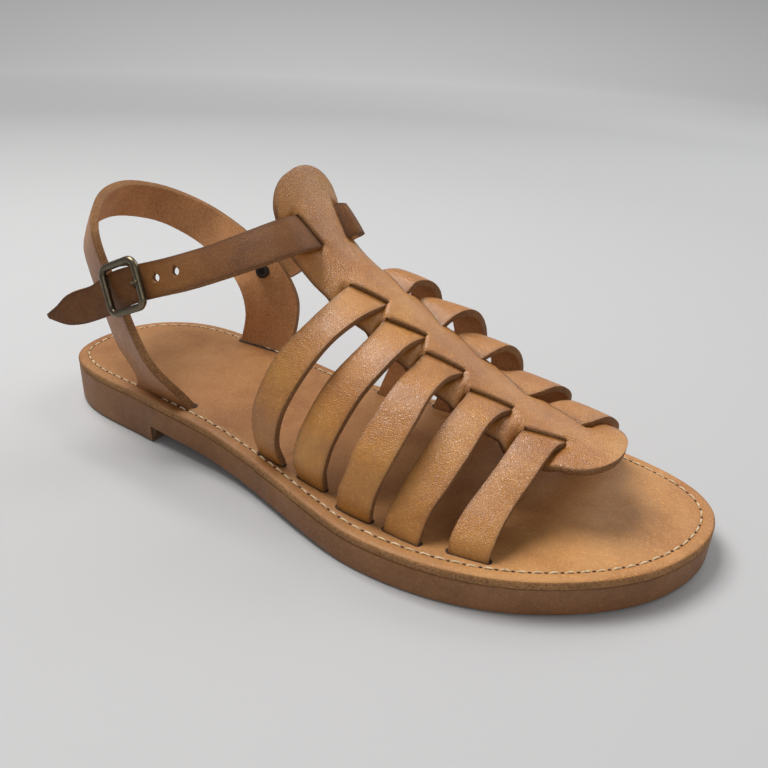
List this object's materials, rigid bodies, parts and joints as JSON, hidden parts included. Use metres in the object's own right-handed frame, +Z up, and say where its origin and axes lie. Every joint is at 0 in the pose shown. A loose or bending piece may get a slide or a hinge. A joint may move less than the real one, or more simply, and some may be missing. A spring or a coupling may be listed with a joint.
{
  "type": "gladiator sandal",
  "caption": "Flat leather gladiator sandal for the right foot: woven spine and vamp straps, buckled ankle strap, heel strap, stitched insole on a low heeled sole",
  "frame": {"origin": "Centre of the bounding box in plan, on the ground plane under the sole", "axes": "+X from the heel to the toe, +Y towards the inner (medial) side of the right foot, +Z up"},
  "size_m": [0.258, 0.1006, 0.1064],
  "materials": {
    "outsole": "matte",
    "insole": "satin",
    "upper": "satin",
    "heel_strap": "satin",
    "buckle_frame": "antique",
    "buckle_prong": "antique",
    "buckle_tab": "satin",
    "rivet": "antique"
  },
  "bodies": {
    "root": {"outsole": "outsole", "insole": "insole", "upper": "upper", "heel_strap": "heel_strap", "buckle_frame": "buckle_frame", "buckle_prong": "buckle_prong", "buckle_tab": "buckle_tab", "rivet": "rivet"}
  },
  "joints": []
}
